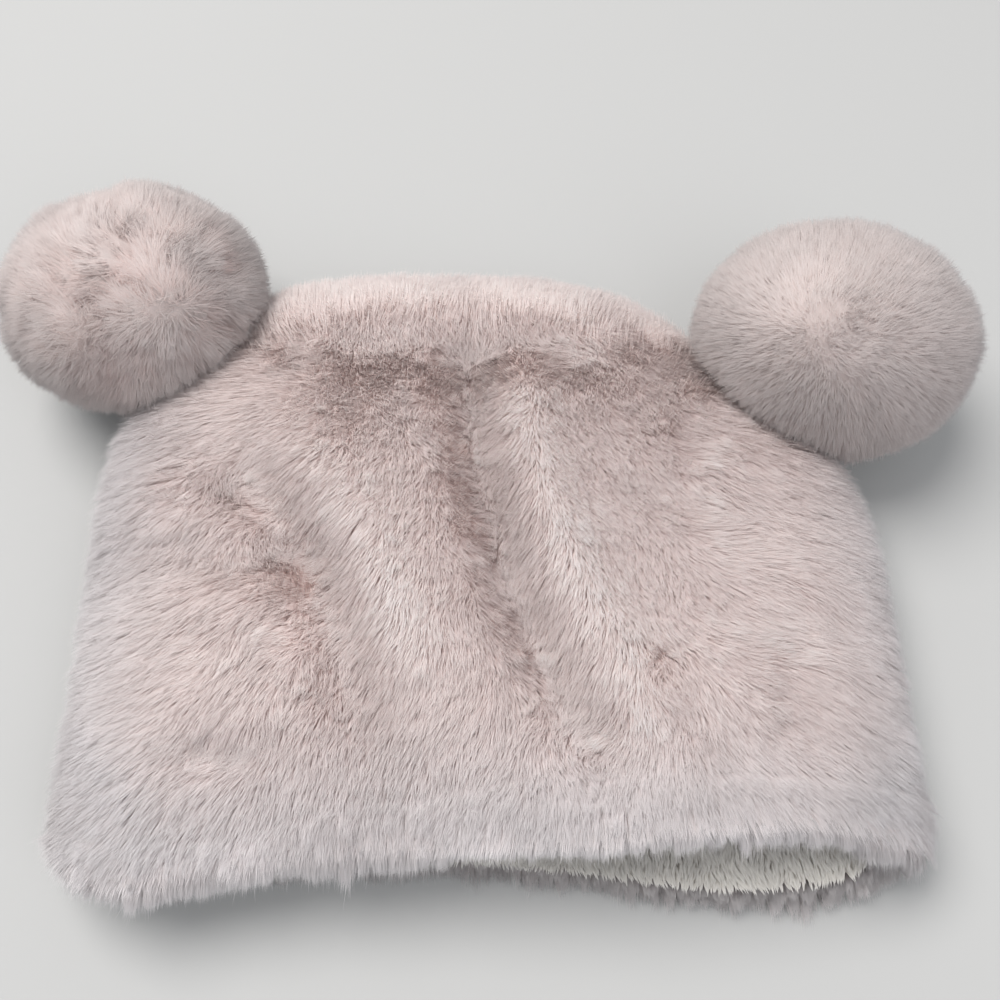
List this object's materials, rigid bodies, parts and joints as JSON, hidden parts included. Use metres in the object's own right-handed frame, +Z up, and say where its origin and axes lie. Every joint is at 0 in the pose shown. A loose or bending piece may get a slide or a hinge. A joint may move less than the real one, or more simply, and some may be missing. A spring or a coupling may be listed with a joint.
{
  "type": "baby fur hat with pompom ears",
  "caption": "Plush baby hat lying flat, with fur panels, a turned fur hem round an open brim, a fleece lining and round fur pompom ears at the crown's corners.",
  "frame": {"origin": "middle of the hat's underside, on the surface that it lies on", "axes": "+X across the hat from ear to ear, to the wearer's left as seen from above, +Y from the brim to the crown, +Z up from the surface"},
  "size_m": [0.3196, 0.2292, 0.0694],
  "materials": {
    "fur": "pale pink plush faux fur, pile about 10 mm, whitish tips",
    "pompom_fur": "pale pink plush faux fur, dense and clipped round",
    "fleece": "cream short-pile fleece"
  },
  "bodies": {
    "root": {"front_panel": "fur", "back_panel": "fur", "hem_band": "fur", "lining": "fleece", "pompom_left": "pompom_fur", "pompom_right": "pompom_fur"}
  },
  "joints": []
}
